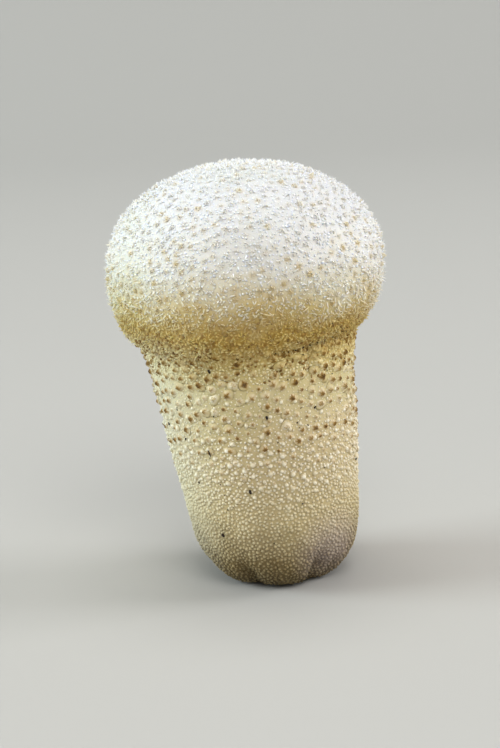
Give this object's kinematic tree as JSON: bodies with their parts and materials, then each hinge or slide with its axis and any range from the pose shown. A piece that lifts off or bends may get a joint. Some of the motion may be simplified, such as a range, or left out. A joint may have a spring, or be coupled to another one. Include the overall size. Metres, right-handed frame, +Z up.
{
  "type": "puffball mushroom",
  "caption": "Pestle-shaped puffball mushroom as picked, with a spiny domed head on a tapering warty stem, standing on its pleated foot.",
  "frame": {"origin": "centre of the small flat spot under the foot, on the surface that the puffball stands on", "axes": "+Z up, from the foot to the crown of the head; -Y towards the front; the stem leans towards -X"},
  "size_m": [0.0801, 0.0808, 0.123],
  "materials": {
    "flesh": "matte"
  },
  "bodies": {
    "root": {"fruit_body": "flesh"}
  },
  "joints": []
}
